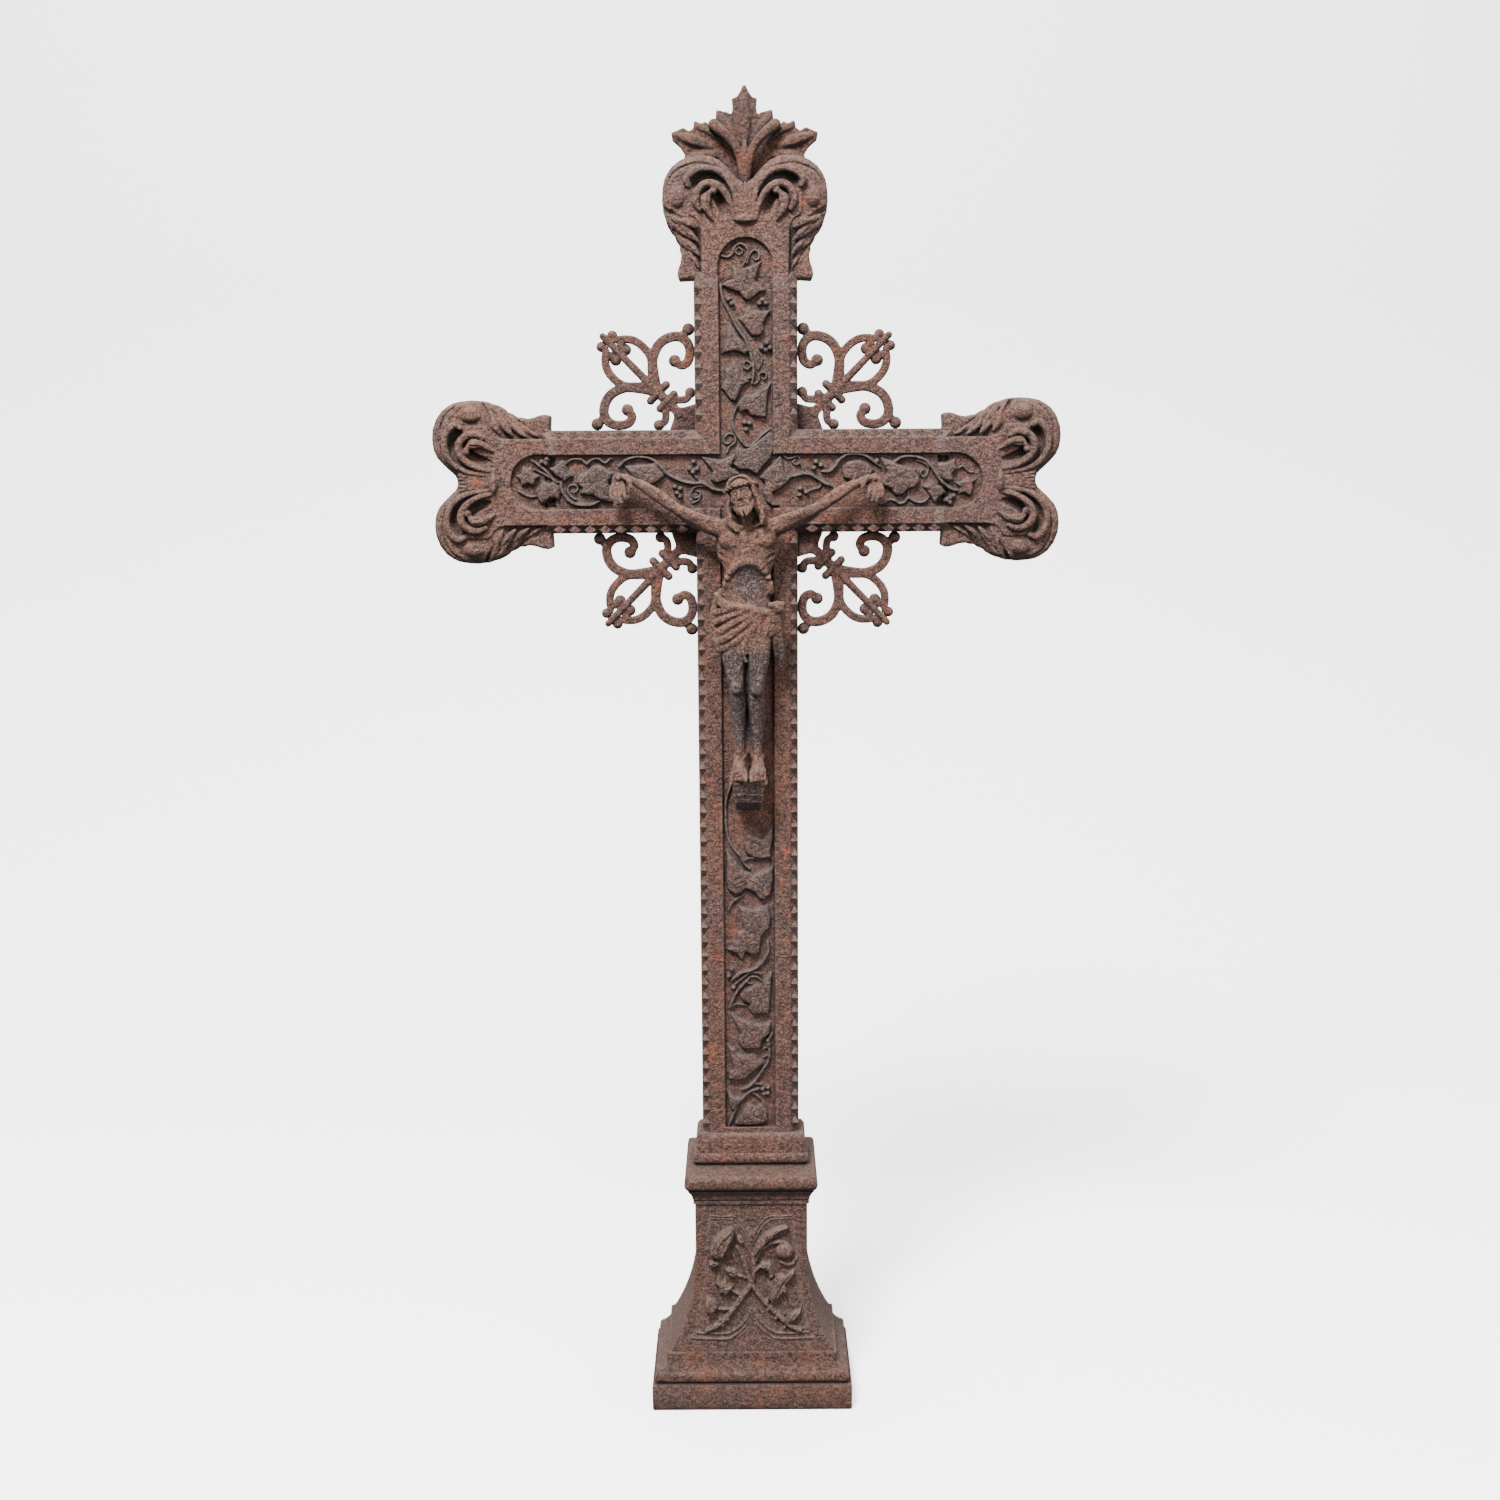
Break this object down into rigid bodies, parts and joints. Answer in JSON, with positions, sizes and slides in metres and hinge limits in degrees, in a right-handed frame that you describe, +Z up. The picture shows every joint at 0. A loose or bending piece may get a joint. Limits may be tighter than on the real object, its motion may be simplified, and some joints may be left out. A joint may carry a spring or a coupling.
{
  "type": "cast iron crucifix",
  "caption": "Tall cast iron cross with leaf scroll ends and pierced corner brackets, carrying a figure, on a moulded rectangular pedestal.",
  "frame": {"origin": "middle of the pedestal's underside, which is the plane that the cross stands on", "axes": "+Z up the shaft, +X to the viewer's right along the arms, -Y out of the front towards the viewer"},
  "size_m": [0.7392, 0.15, 1.5987],
  "materials": {
    "cross_iron": "matt, rusted brown, with orange rust patches and worn grey high spots",
    "pedestal_iron": "matt, rusted brown, darker in the mouldings",
    "figure_iron": "matt, pitted, grey brown with rust on the raised parts",
    "crown_iron": "matt, rusted dark brown",
    "bracket_iron": "matt, rusted brown, worn on the raised edges"
  },
  "bodies": {
    "root": {"pedestal": "pedestal_iron", "cross": "cross_iron", "crown_palmette": "crown_iron", "corner_bracket_upper_left": "bracket_iron", "corner_bracket_upper_right": "bracket_iron", "corner_bracket_lower_left": "bracket_iron", "corner_bracket_lower_right": "bracket_iron", "corpus": "figure_iron"}
  },
  "joints": []
}
